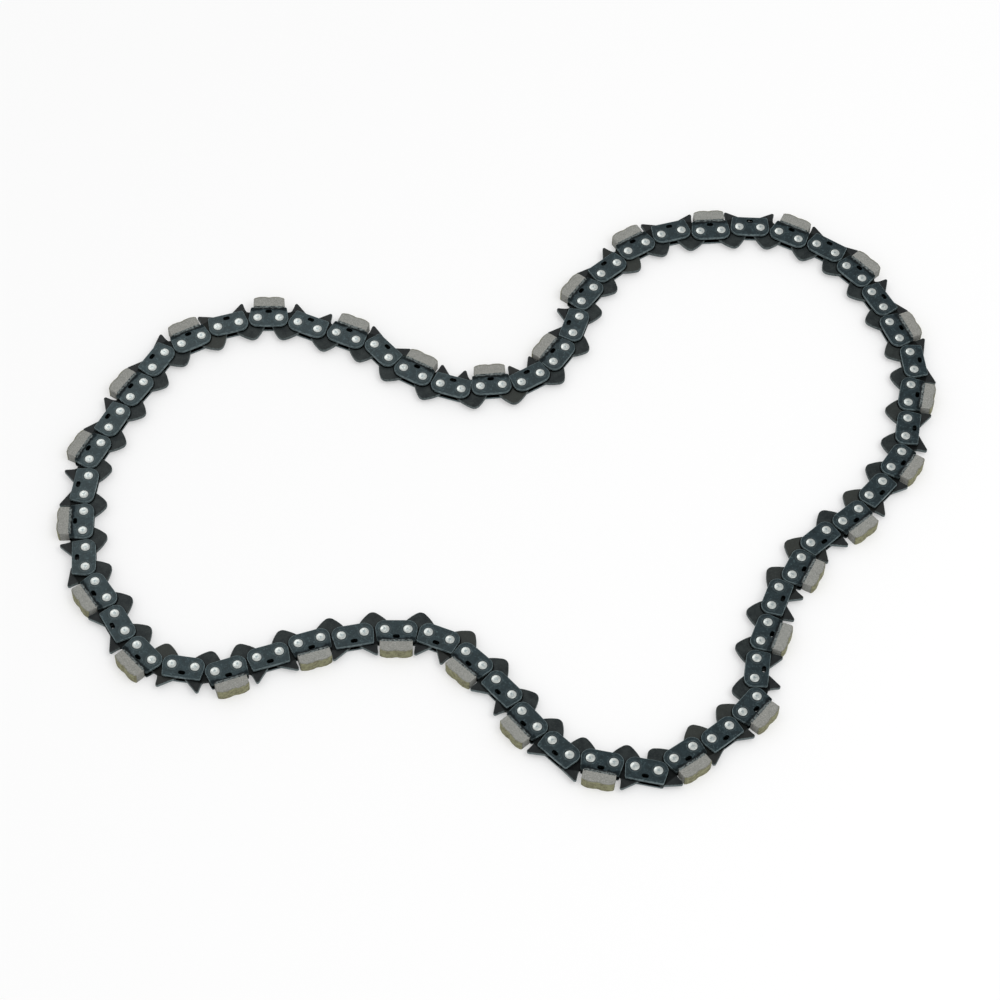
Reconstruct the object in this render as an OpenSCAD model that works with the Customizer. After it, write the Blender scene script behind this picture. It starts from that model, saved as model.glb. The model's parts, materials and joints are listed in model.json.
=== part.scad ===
// Diamond saw chain: a closed loop of 120 links that lies on its side.
// Two kinds of side link take turns, a cutter with a diamond segment and a plain tie strap,
// with a drive link between each two. Outward is away from the middle of the loop.

/* [Pitch] */
// Distance between the two rivets of a cutter or a tie strap
side_pitch = 10.07; // [9.9:0.01:10.2]
// Distance between the two rivets of a drive link
drive_pitch = 8.98; // [8.85:0.01:9.1]

/* [Side plates] */
// Thickness of a cutter or tie strap plate
plate_t = 1.4; // [1.2:0.05:1.6]
// Height of a plate's outer edge over the rivet line
plate_top = 5.95; // [5.6:0.05:6.1]
// Depth of a plate's inner edge under the rivet line
plate_drop = 4.6; // [4.4:0.05:4.9]
// Gap between neighbouring plates in a straight chain
plate_gap = 0.64; // [0.6:0.02:1]
// How far each end of a plate leans in towards its outer edge
plate_lean = 0.8; // [0.6:0.05:1.2]
// Radius of a plate's outer corners
plate_corner_r = 0.7; // [0.3:0.1:1.2]
// Length of the oil slot
slot_l = 2.95; // [2:0.05:3.2]
// Width of the oil slot
slot_w = 1.7; // [1.2:0.05:1.8]
// Height of the oil slot's middle over the rivet line
slot_y = 3.6; // [3.4:0.05:3.8]

/* [Drive links] */
// Thickness of a drive link, which is the gauge of the bar groove
drive_t = 1.6; // [1.3:0.05:1.6]
// Gap between neighbouring drive links behind a cutter
drive_gap = 1.67; // [1.4:0.05:2.2]
// Depth of the tang under the rivet line
tang_depth = 10.2; // [9.5:0.1:11]
// Radius of the tang's tip
tang_r = 3; // [2:0.1:3.4]
// Offset of the tang's tip from the link's middle, towards the cutter
tang_shift = 0.2; // [0:0.05:0.4]
// How far out the tang's flanks bulge, from the link's middle
tang_bulge_x = 5.4; // [5:0.1:5.8]
// Depth that the flanks bulge towards
tang_bulge_y = 6.8; // [6.4:0.1:7.2]
// Height of the bumper horn over the rivet line
horn_h = 10.95; // [10:0.05:11.2]
// Radius of the horn's tip
horn_tip_r = 0.8; // [0.5:0.05:1]
// Slope of the horn's long flank, in degrees
horn_slope = 38; // [36:0.5:40]
// How much wider the horn is at the foot of its steep flank
horn_foot = 1; // [0.6:0.05:1.4]
// How far under the plates' outer edge that foot lies
foot_sink = 0.6; // [0.4:0.05:1]
// How far past the rivet the corner under the long flank lies
shoulder_out = 2.8; // [2.4:0.05:3]
// Radius of that corner
shoulder_r = 0.7; // [0.4:0.05:0.8]
// Gap between the horn and the diamond segment in a straight chain
horn_gap = 2.2; // [2:0.05:2.5]

/* [Diamond segments] */
// Length of a segment
seg_l = 14.4; // [13.6:0.1:14.6]
// Width of a segment, which is the width of the cut
seg_w = 5.7; // [5.5:0.1:6.4]
// Height of a segment's cutting face over the plates it is welded to
seg_h = 5.75; // [4.5:0.05:6.5]
// Depth of the dip in the middle of the cutting face
dip_depth = 0.4; // [0.2:0.05:0.8]
// Half the length of that dip
dip_l = 2.2; // [1.5:0.1:3]
// Length of the sloped ends of the cutting face
ramp_l = 2.3; // [1.5:0.1:3]
// Drop of those sloped ends
ramp_drop = 1.3; // [0.8:0.1:2]
// Distance of the slopes' knee from the segment's end
knee_l = 0.6; // [0.3:0.05:1]
// Drop of the slopes down to their knee
knee_drop = 0.65; // [0.4:0.05:0.8]
// Height of the weld seam down the plate
weld_h = 0.8; // [0.4:0.05:1]
// How far the weld seam stays behind the segment's flat
weld_inset = 0.06; // [0.02:0.02:0.2]

/* [Rivets] */
// Radius of the barrel that a drive link turns on
barrel_r = 2.4; // [2.2:0.05:2.6]
// Radius of the hubs that pass through the plates
hub_r = 1.6; // [1.4:0.05:1.7]
// Radius of the spun heads
head_r = 2.1; // [1.9:0.05:2.4]
// Height of a head over its plate
head_h = 0.4; // [0.25:0.05:0.4]
// Height of a head's upright side
head_side = 0.15; // [0.05:0.05:0.2]
// Width of a head's rounded rim
head_rim = 0.6; // [0.3:0.05:1]

/* [Fits] */
// Radial clearance of the barrel in a drive link
run_fit = 0.05; // [0.03:0.01:0.1]
// Radial clearance of the hubs in the plates
hub_fit = 0.02; // [0.01:0.01:0.03]
// Clearance on each side of a drive link, between the plates
side_play = 0.05; // [0.03:0.01:0.1]

/* [Hidden] */
KINDS = ["cutter_plates", "tie_straps", "diamond_segments", "drive_links", "rivets"];

// Lay of the chain in the photograph. A measuring script found where the rivets lie there and
// which way each link points. The places below are its figures, rounded to half a millimetre
// and evened out by hand so that opposite stretches match. The bends are the turns between
// its link directions, which were rounded to even degrees first.
// The loop has 12 stretches, which hinge on each other at named rivets. Three pairs of
// stretches lie opposite each other, as long as each other and parallel, so a pair can swing
// like the sides of a parallelogram and the loop stays closed. The rivets' places below suit
// a chain of this pitch.
LAY_PITCH = 19.05;
LAY_SHIFT = [0.2, -0.5];
SWING_A = [36, 85];
SWING_B = [113.5, -32];
SWING_C = [53, 17];
LAY_STARTS = [
    [108, 147],
    [187.5, 66.5],
    [187.5, 66.5] - SWING_A,
    [99.5, -124.5],
    [99.5, -124.5] - SWING_B,
    [-77, -88],
    [-77, -88] - SWING_C,
    [-187, -18.5],
    [-187, -18.5] + SWING_A,
    [-107, 83.5],
    [-107, 83.5] + SWING_B,
    [108, 147] - SWING_C,
];

// Bend at each rivet inside a stretch, in degrees, outward bends positive
BENDS = [
    [-12, -12, 8, -14, -24, 10, -16, 2, -14, 8, 6, -22],
    [2, 6, -4, -6, -18, 4, -12, 6, -14],
    [10, 18, 4, -18, 24, 8, -8, 8, 6, 12, -46, -2],
    [-14, 10, 6, -52, 0, 0, 2, -34, -2, -4, -12, 14, -2, 6],
    [20, 14, 10, 10, 2, -6],
    [8, -8, 6, -4, -34],
    [-4, -34, -4, -8, -4, 8, -2, -28, 8, -10, 2],
    [10, -30, 8, -8, 0, -6, 10, -8, -26],
    [8, -20, 0, -18],
    [-8, 12, -12, 6, -32, 10, 10, 4, 8, 30, -6, 4],
    [16, 10, 10, 6, 12, -30, 12, -26, 12],
    [0, -14, -16, 6, 8],
];
STRETCHES = len(BENDS);

// Kinds of link along the chain, and the kind that the first stretch starts with
CUTTER = 0;
DRIVE_AFTER_CUTTER = 1;
TIE_STRAP = 2;
DRIVE_AFTER_TIE = 3;
FIRST_KIND = TIE_STRAP;

// Arcs that round a drive link's tang and its two ends, from one angle to another
TANG_ARC = [-130, -50];
CUTTER_END_ARC = [-40, 95];
TIE_END_ARC = [160, 220];

// Sides of a full circle, steps of a segment's dip, and how far a cut runs past a flat
ROUND = 48;
DIP_STEPS = 6;
CUT_PAST = 1;

lay_scale = (side_pitch + drive_pitch) / LAY_PITCH;
side_half = side_pitch / 2;
drive_half = drive_pitch / 2;
mid_z = seg_w / 2;
drive_z = mid_z - drive_t / 2;
barrel_l = drive_t + 2 * side_play;
lower_plate_z = mid_z - barrel_l / 2 - plate_t;
upper_plate_z = mid_z + barrel_l / 2;
plate_end_r = (drive_pitch - plate_gap) / 2;
plate_end_y = plate_end_r - plate_drop;
drive_end_r = (side_pitch - drive_gap) / 2;
seg_half = seg_l / 2;
seg_top = plate_top + seg_h;
horn_x = drive_half + side_half - seg_half - horn_gap;

function link_count(s) = len(BENDS[s]) + 1;

function links_before(s) = s == 0 ? 0 : links_before(s - 1) + link_count(s - 1);

function kind_of(n) = (n + FIRST_KIND) % 4;

function is_side(n) = kind_of(n) % 2 == 0;

function pitch_of(n) = is_side(n) ? side_pitch : drive_pitch;

function along(angle) = [cos(angle), sin(angle)];

function direction(v) = atan2(v[1], v[0]);

// Start of a stretch, at its first rivet. The last stretch ends where the first one starts.
function start_of(s) = lay_scale * (LAY_STARTS[s % STRETCHES] + LAY_SHIFT);

// Headings of a stretch's links, from the bends, with the first link at 0
function raw_headings(s) =
    [for (i = 0, h = 0; i < link_count(s); h = h + (i < len(BENDS[s]) ? BENDS[s][i] : 0), i = i + 1) h];

// Rivets along links with these headings, from the origin. n is the first link's number.
function walk(n, headings) =
    [for (i = 0, p = [0, 0];
          i <= len(headings);
          p = i < len(headings) ? p + pitch_of(n + i) * along(headings[i]) : p, i = i + 1) p];

function reach(n, headings) = last(walk(n, headings));

// Share of the bends at which the links just reach over a distance, found by halving
function bend_share(n, headings, distance, low = 0, high = 2, rounds = 40) =
    let (middle = (low + high) / 2)
    rounds == 0 ? middle
    : norm(reach(n, middle * headings)) > distance
        ? bend_share(n, headings, distance, middle, high, rounds - 1)
        : bend_share(n, headings, distance, low, middle, rounds - 1);

function turned(headings, angle) = [for (h = headings) h + angle];

// Headings of a stretch as it lies, which bring its last rivet to the next stretch's start
function headings_of(s) =
    let (n = links_before(s),
         span = start_of(s + 1) - start_of(s),
         raw = raw_headings(s),
         level = turned(raw, -direction(reach(n, raw))),
         eased = bend_share(n, level, norm(span)) * level)
    turned(eased, direction(span) - direction(reach(n, eased)));

HEADINGS = [for (s = [0 : STRETCHES - 1]) headings_of(s)];

function rivets_of(s) = [for (p = walk(links_before(s), HEADINGS[s])) start_of(s) + p];

function last(points) = points[len(points) - 1];

// Points of an arc, which is given as its first and last angle
function arc(centre, r, angles, steps) =
    [for (i = [0 : steps]) centre + r * along(angles[0] + (angles[1] - angles[0]) * i / steps)];

function mirrored(points) = [for (i = [len(points) - 1 : -1 : 0]) [-points[i][0], points[i][1]]];

// Points of a curve from a to b that bulges towards c, without a and b themselves
function bulge(a, c, b, steps = 6) =
    [for (i = [1 : steps - 1])
        let (t = i / steps)
        (1 - t) * (1 - t) * a + 2 * t * (1 - t) * c + t * t * b];

// Puts what it holds on link number i of a stretch, with the link's middle at the origin,
// +X along the chain and +Y outward
module on_link(s, i) {
    rivets = rivets_of(s);
    translate([rivets[i][0], rivets[i][1], 0])
        rotate([0, 0, HEADINGS[s][i]])
            translate([pitch_of(links_before(s) + i) / 2, 0, 0])
                children();
}

// Puts what it holds on each link of these kinds
module on_links(s, kinds) {
    for (i = [0 : link_count(s) - 1])
        if (len(search(kind_of(links_before(s) + i), kinds)) > 0)
            on_link(s, i) children();
}

module bores(half, r, z, t) {
    for (side = [-1, 1])
        translate([side * half, 0, z - CUT_PAST])
            cylinder(h = t + 2 * CUT_PAST, r = r, $fn = ROUND);
}

// Outline of a side plate: round inner corners about the rivets, ends that lean in
function plate_half_outline() =
    let (end_x = side_half + plate_end_r,
         top_x = end_x - plate_lean,
         lean = atan(plate_lean / (plate_top - plate_end_y)))
    concat(
        arc([side_half, plate_end_y], plate_end_r, [-90, 0], 10),
        arc([top_x - plate_corner_r, plate_top - plate_corner_r], plate_corner_r, [lean, 90], 4)
    );

module slot_cut(z) {
    slot_r = slot_w / 2;
    cut_h = plate_t + 2 * CUT_PAST;
    translate([0, slot_y, z - CUT_PAST]) {
        for (side = [-1, 1])
            translate([side * (slot_l / 2 - slot_r), 0, 0])
                cylinder(h = cut_h, r = slot_r, $fn = ROUND);
        translate([slot_r - slot_l / 2, -slot_r, 0])
            cube([slot_l - slot_w, slot_w, cut_h]);
    }
}

module side_plate(z) {
    half = plate_half_outline();
    difference() {
        translate([0, 0, z])
            linear_extrude(height = plate_t)
                polygon(concat(half, mirrored(half)));
        bores(side_half, hub_r + hub_fit, z, plate_t);
        slot_cut(z);
    }
}

module plate_pair() {
    side_plate(lower_plate_z);
    side_plate(upper_plate_z);
}

// Half of a segment's outline: a dip in the middle, a hump, and a sloped end
function segment_half_outline() =
    concat(
        [[seg_half, plate_top], [seg_half, seg_top - ramp_drop]],
        [[seg_half - knee_l, seg_top - knee_drop], [seg_half - ramp_l, seg_top]],
        [for (i = [DIP_STEPS : -1 : 0])
            let (part = i / DIP_STEPS)
            [dip_l * part, seg_top - dip_depth * (1 + cos(180 * part)) / 2]]
    );

// Weld seam in the corner between a plate's flat and the segment's overhang
module weld_seam() {
    overhang = mid_z - barrel_l / 2 - plate_t;
    translate([-seg_half, 0, 0])
        rotate([90, 0, 90])
            linear_extrude(height = seg_l)
                polygon([[plate_top, weld_inset], [plate_top, overhang], [plate_top - weld_h, overhang]]);
}

module diamond_segment() {
    half = segment_half_outline();
    linear_extrude(height = seg_w)
        polygon(concat(half, [for (p = mirrored(half)) if (p[0] < 0) p]));
    weld_seam();
    translate([0, 0, seg_w])
        mirror([0, 0, 1])
            weld_seam();
}

// Outline of a drive link, with its horn over the rivet at -X
function drive_outline() =
    let (tip = [horn_x - horn_tip_r, horn_h - horn_tip_r],
         foot = [horn_x + horn_foot, plate_top - foot_sink],
         long_flank = 90 + horn_slope,
         shoulder_x = -drive_half - shoulder_out,
         flank_drop = (tip[0] - shoulder_x) * tan(horn_slope),
         shoulder_y = tip[1] - flank_drop + (horn_tip_r - shoulder_r) / cos(horn_slope),
         tang_end = arc([tang_shift, tang_r - tang_depth], tang_r, TANG_ARC, 8),
         cutter_end = arc([drive_half, 0], drive_end_r, CUTTER_END_ARC, 12),
         tie_end = arc([-drive_half, 0], drive_end_r, TIE_END_ARC, 6))
    concat(
        tang_end,
        bulge(last(tang_end), [tang_bulge_x, -tang_bulge_y], cutter_end[0]),
        cutter_end,
        [foot],
        bulge(foot, [horn_x, foot[1]], [horn_x, tip[1]], 5),
        arc(tip, horn_tip_r, [0, long_flank], 6),
        arc([shoulder_x, shoulder_y], shoulder_r, [long_flank, 180], 3),
        tie_end,
        bulge(last(tie_end), [-tang_bulge_x, -tang_bulge_y], tang_end[0])
    );

module drive_link() {
    difference() {
        translate([0, 0, drive_z])
            linear_extrude(height = drive_t)
                polygon(drive_outline());
        bores(drive_half, barrel_r + run_fit, drive_z, drive_t);
    }
}

// Half of a rivet's section, from its middle up: barrel, hub and spun head
function rivet_half_section() =
    let (plate_z = barrel_l / 2,
         head_z = plate_z + plate_t,
         top_z = head_z + head_h,
         rim = [[head_r, head_z + head_side], [head_r - head_rim, top_z]])
    concat(
        [[barrel_r, 0], [barrel_r, plate_z], [hub_r, plate_z], [hub_r, head_z], [head_r, head_z]],
        [rim[0]],
        bulge(rim[0], [head_r, top_z], rim[1], 2),
        [rim[1], [0, top_z]]
    );

module rivet() {
    half = rivet_half_section();
    lower = [for (i = [len(half) - 1 : -1 : 1]) [half[i][0], -half[i][1]]];
    translate([0, 0, mid_z])
        rotate_extrude($fn = ROUND)
            polygon(concat(lower, [for (i = [1 : len(half) - 1]) half[i]]));
}

module cutter_plates(s) {
    color([0.25, 0.28, 0.3])
        on_links(s, [CUTTER])
            plate_pair();
}

module tie_straps(s) {
    color([0.27, 0.3, 0.32])
        on_links(s, [TIE_STRAP])
            plate_pair();
}

module diamond_segments(s) {
    color([0.55, 0.55, 0.51])
        on_links(s, [CUTTER])
            diamond_segment();
}

module drive_links(s) {
    color([0.19, 0.2, 0.21]) {
        on_links(s, [DRIVE_AFTER_TIE])
            drive_link();
        on_links(s, [DRIVE_AFTER_CUTTER])
            mirror([1, 0, 0])
                drive_link();
    }
}

// The rivets of a stretch are those of its side links, two in each
module rivets(s) {
    color([0.76, 0.78, 0.77])
        on_links(s, [CUTTER, TIE_STRAP])
            for (side = [-1, 1])
                translate([side * side_half, 0, 0])
                    rivet();
}

for (s = [0 : STRETCHES - 1]) {
    cutter_plates(s);
    tie_straps(s);
    diamond_segments(s);
    drive_links(s);
    rivets(s);
}
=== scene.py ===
# %% [markdown]
# # A diamond saw chain
# The chain lies on its side in a loose loop. It has 120 links of four kinds: cutters, which carry
# a diamond segment, plain tie straps, and drive links between them that point one way or the
# other. The CAD model gives every link its true place and form. This script dresses the links:
# rounded edges, spun rivet heads, rough segments, lumpy weld seams, and the finishes.

import json
import math

import bpy
import numpy as np
from mathutils import Matrix, Vector
from mathutils.geometry import tessellate_polygon

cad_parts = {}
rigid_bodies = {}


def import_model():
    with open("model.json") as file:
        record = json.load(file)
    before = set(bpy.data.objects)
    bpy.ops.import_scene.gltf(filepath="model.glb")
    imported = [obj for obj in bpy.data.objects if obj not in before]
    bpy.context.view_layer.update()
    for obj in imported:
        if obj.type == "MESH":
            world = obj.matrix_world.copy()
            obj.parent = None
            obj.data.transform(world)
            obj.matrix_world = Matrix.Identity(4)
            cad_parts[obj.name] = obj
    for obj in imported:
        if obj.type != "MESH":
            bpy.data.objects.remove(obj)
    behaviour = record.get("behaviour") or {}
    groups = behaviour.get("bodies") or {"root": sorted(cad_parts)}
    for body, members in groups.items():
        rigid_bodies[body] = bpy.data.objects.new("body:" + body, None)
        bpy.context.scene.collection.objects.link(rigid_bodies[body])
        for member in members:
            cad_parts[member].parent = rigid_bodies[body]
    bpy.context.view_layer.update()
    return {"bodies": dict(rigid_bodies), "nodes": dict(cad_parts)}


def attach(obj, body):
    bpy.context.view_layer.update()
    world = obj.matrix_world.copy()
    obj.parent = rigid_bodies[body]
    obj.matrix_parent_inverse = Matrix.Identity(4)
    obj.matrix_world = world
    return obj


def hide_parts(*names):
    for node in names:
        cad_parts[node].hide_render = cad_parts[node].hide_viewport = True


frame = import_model()
bodies = list(frame["bodies"])
print("bodies:", len(bodies), "CAD nodes:", len(frame["nodes"]))

# %% [markdown]
# ## Camera
# The picture was taken from far away with a long lens, so the loop is hardly foreshortened. Its
# place was worked out from the 120 rivets. The camera looks down at 57 degrees, and it is
# rolled by two degrees, which a Blender camera takes as a turn about its own axis.

# %% Camera
MM = 0.001
LOOK_AT = Vector((-1.3, -14.5, 5.5)) * MM
DISTANCE = 1308.9 * MM
ELEVATION = math.radians(56.66)
ROLL = math.radians(2.01)

camera_data = bpy.data.cameras.new("camera")
camera_data.sensor_width = 36
camera_data.lens = 105.52
camera_data.clip_end = 20
camera = bpy.data.objects.new("camera", camera_data)
bpy.context.scene.collection.objects.link(camera)
bpy.context.scene.camera = camera
backward = Vector((0, -math.cos(ELEVATION), math.sin(ELEVATION)))
tilted = Matrix.Rotation(math.pi / 2 - ELEVATION, 4, "X")
camera.matrix_world = (
    Matrix.Translation(LOOK_AT + DISTANCE * backward) @ tilted @ Matrix.Rotation(ROLL, 4, "Z")
)
print("camera at", [round(x, 3) for x in camera.location])

# %% [markdown]
# ## Where the links are
# Every later step needs each link's place, heading, kind and body. Typing 120 of them in would
# be slow, and wrong as soon as the CAD model changes. So they are measured on the CAD model: a
# rivet's flat top gives its centre, and walking from rivet to nearest rivet gives the chain.

# %% Sizes that the links share, in millimetres as in the CAD model
SIDE_PITCH = 10.07
DRIVE_PITCH = 8.98
PLATE_T = 1.4
PLATE_TOP = 5.95
PLATE_DROP = 4.6
PLATE_GAP = 0.64
SLOT_L = 2.95
SLOT_W = 1.7
SLOT_Y = 3.6
DRIVE_T = 1.6
TANG_DEPTH = 10.2
BARREL_L = 1.7
HEAD_R = 2.1
SEGMENT_L = 14.4
SEGMENT_W = 5.7
MIDDLE_Z = SEGMENT_W / 2
INNER_FLAT = BARREL_L / 2
OUTER_FLAT = INNER_FLAT + PLATE_T
PLATE_END_R = (DRIVE_PITCH - PLATE_GAP) / 2
PLATE_END_Y = PLATE_END_R - PLATE_DROP


# %% Find the rivets

def node_points(name):
    """The corners of a CAD node's mesh, in millimetres."""
    mesh = frame["nodes"][name].data
    flat = np.zeros(len(mesh.vertices) * 3, np.float32)
    mesh.vertices.foreach_get("co", flat)
    return flat.reshape(-1, 3).astype(float) / MM


def rivet_centres(name):
    """The centres of the rivets in a node, from the rims of their flat tops."""
    points = node_points(name)
    tops = points[points[:, 2] > points[:, 2].max() - 0.02][:, :2]
    centres = []
    while len(tops):
        same = np.hypot(*(tops - tops[0]).T) < 2 * HEAD_R
        centres.append(np.unique(tops[same].round(3), axis=0).mean(0))
        tops = tops[~same]
    return centres


rivets = [(centre, body) for body in bodies
          for centre in rivet_centres(body.replace("stretch", "rivets"))]
print("rivets:", len(rivets))

# %% Walk round the loop
chain = [rivets.pop(0)]
while rivets:
    last = chain[-1][0]
    nearest = min(range(len(rivets)), key=lambda i: np.hypot(*(rivets[i][0] - last)))
    chain.append(rivets.pop(nearest))

places = np.array([centre for centre, body in chain])
following = np.roll(places, -1, axis=0)
if (places[:, 0] * following[:, 1] - places[:, 1] * following[:, 0]).sum() > 0:
    chain.reverse()
print("the loop is walked clockwise, so outward is to the left")

# %% Name each link's kind and body
NEAR = 0.5


def holder(kind, point):
    """The body whose node of this kind has a corner at this point, or None."""
    for body in bodies:
        away = node_points(body.replace("stretch", kind))[:, :2] - point
        if np.hypot(*away.T).min() < NEAR:
            return body
    return None


links = []
for i, (start, body) in enumerate(chain):
    end = chain[(i + 1) % len(chain)][0]
    along = (end - start) / np.hypot(*(end - start))
    outward = np.array([-along[1], along[0]])
    middle = (start + end) / 2
    link = {"middle": middle, "heading": math.atan2(along[1], along[0]), "body": body}
    if np.hypot(*(end - start)) > (SIDE_PITCH + DRIVE_PITCH) / 2:
        corner = middle + SEGMENT_L / 2 * along + PLATE_TOP * outward
        link["kind"] = "cutter" if holder("diamond_segments", corner) else "tie strap"
    else:
        link["kind"] = "drive link"
        link["body"] = holder("drive_links", middle - TANG_DEPTH * outward)
    links.append(link)
for before, link in zip([links[-1]] + links, links):
    link["turned over"] = before["kind"] == "cutter"
for kind in ("cutter", "tie strap", "drive link"):
    print(kind + "s:", sum(link["kind"] == kind for link in links))

# %% [markdown]
# ## Writing materials as sums
# A material is a net of nodes, and a long one is hard to read as calls that add nodes and links.
# Here one class wraps an output socket, so that a sum such as `1 - mask * 0.5` adds the Math
# nodes by itself. Every other node comes from one method, `Finish.add`.

# %% A socket that can be used in sums
class Wire:
    def __init__(self, finish, socket):
        self.finish = finish
        self.socket = socket

    def maths(self, operation, *values, clamp=False):
        sockets = dict(enumerate(values))
        return self.finish.add("ShaderNodeMath", sockets, operation=operation, use_clamp=clamp)

    def __add__(self, other):
        return self.maths("ADD", self, other)

    def __radd__(self, other):
        return self.maths("ADD", other, self)

    def __sub__(self, other):
        return self.maths("SUBTRACT", self, other)

    def __rsub__(self, other):
        return self.maths("SUBTRACT", other, self)

    def __mul__(self, other):
        return self.maths("MULTIPLY", self, other)

    def __rmul__(self, other):
        return self.maths("MULTIPLY", other, self)

    def __abs__(self):
        return self.maths("ABSOLUTE", self)

    def at_least(self, least):
        return self.maths("MAXIMUM", self, least)

    def at_most(self, most):
        return self.maths("MINIMUM", self, most)

    def root(self):
        return self.maths("SQRT", self)


class Finish:
    """One material. add() makes a node: its settings first, then its sockets' values or links."""

    def __init__(self, name):
        self.material = bpy.data.materials.new(name)
        self.material.use_nodes = True
        self.tree = self.material.node_tree
        self.tree.nodes.clear()

    def add(self, kind, inputs=(), output=0, **settings):
        node = self.tree.nodes.new(kind)
        for key, value in settings.items():
            setattr(node, key, value)
        for key, value in dict(inputs).items():
            if isinstance(value, Wire):
                self.tree.links.new(value.socket, node.inputs[key])
            else:
                node.inputs[key].default_value = value
        return Wire(self, node.outputs[output])

    def attribute(self, name, output="Fac"):
        return self.add("ShaderNodeAttribute", output=output, attribute_name=name)

    def place(self):
        """Where a point is on the whole chain, in millimetres."""
        here = self.add("ShaderNodeTexCoord", output="Object")
        return self.add("ShaderNodeVectorMath", {0: here, "Scale": 1 / MM}, operation="SCALE")

    def noise(self, vector, size, detail=4.0, rough=0.55):
        """Clouds whose spots are about this many millimetres wide."""
        sockets = {"Vector": vector, "Scale": 1 / size, "Detail": detail, "Roughness": rough}
        return self.add("ShaderNodeTexNoise", sockets)

    def between(self, value, low, high):
        """0 up to low, 1 from high on, and smooth in between."""
        sockets = {"Value": value, "From Min": low, "From Max": high}
        return self.add("ShaderNodeMapRange", sockets, interpolation_type="SMOOTHSTEP")

    def mix(self, factor, first, second):
        """The first colour where the factor is 0, the second where it is 1."""
        first, second = [(*c, 1) if isinstance(c, tuple) else c for c in (first, second)]
        return self.add("ShaderNodeMix", {0: factor, 6: first, 7: second}, output=2, data_type="RGBA")

    def apart(self, vector, axis):
        return self.add("ShaderNodeSeparateXYZ", {0: vector}, output=axis)

    def bump(self, height, depth):
        """Dents this many millimetres deep where the height is 0."""
        return self.add("ShaderNodeBump", {"Height": height, "Distance": depth * MM})

    def surface(self, **inputs):
        """The shader. A socket's name is written with _ for its spaces, and a tuple is a colour."""
        sockets = {key.replace("_", " "): (*value, 1) if isinstance(value, tuple) else value
                   for key, value in inputs.items()}
        self.add_output(self.add("ShaderNodeBsdfPrincipled", sockets))
        return self.material

    def add_output(self, shader):
        node = self.tree.nodes.new("ShaderNodeOutputMaterial")
        self.tree.links.new(shader.socket, node.inputs["Surface"])


# %% [markdown]
# ## Oxide on the side plates
# The plates are punched from spring steel and blued, which leaves a thin dark blue-grey oxide. It
# wears off the rolled-over edge and around each rivet, where the spinning tool has rubbed. The pale
# line along the outline is partly that wear and partly a painted highlight on the rounded edge. On
# a cutter, the band between the slot and the segment is painted black: partly heat tint from the
# weld, partly painted shadow under the bead. The pattern follows each link, so it reads the place on
# the link, which the mesh carries as an attribute. The slot and the inner flats are painted black:
# partly oil and grime, partly painted shade in the slot and between the plates. Black is written
# as a metal with no colour, because any other surface would still mirror a little of the room.
# Oxide is a thin film, so what it mirrors has lost some red, which the specular tint gives.

# %% Side plate finish
def slot_distance(f, spot):
    """How many millimetres a point lies outside the slot's rim."""
    past_x = (abs(f.apart(spot, "X")) - (SLOT_L - SLOT_W) / 2).at_least(0.0)
    past_y = f.apart(spot, "Y") - SLOT_Y
    return (past_x * past_x + past_y * past_y).root() - SLOT_W / 2


def rivet_distance(f, spot):
    """How many millimetres a point lies outside the nearer rivet head."""
    from_x = abs(f.apart(spot, "X")) - SIDE_PITCH / 2
    from_y = f.apart(spot, "Y")
    return (from_x * from_x + from_y * from_y).root() - HEAD_R


OXIDE = ((0.003, 0.007, 0.010), (0.010, 0.020, 0.026))
DULL_OXIDE = (0.009, 0.014, 0.017)
SCUFFED = (0.075, 0.115, 0.125)
RUBBED = (0.11, 0.135, 0.14)
PUNCHED_WALL = (0.045, 0.060, 0.064)
WORN_AND_HIGHLIT_EDGE = (0.22, 0.28, 0.29)
# Black for the slot and the inner flats: partly oil and grime, partly painted shade.
BLACK = (0.002, 0.002, 0.002)


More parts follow.
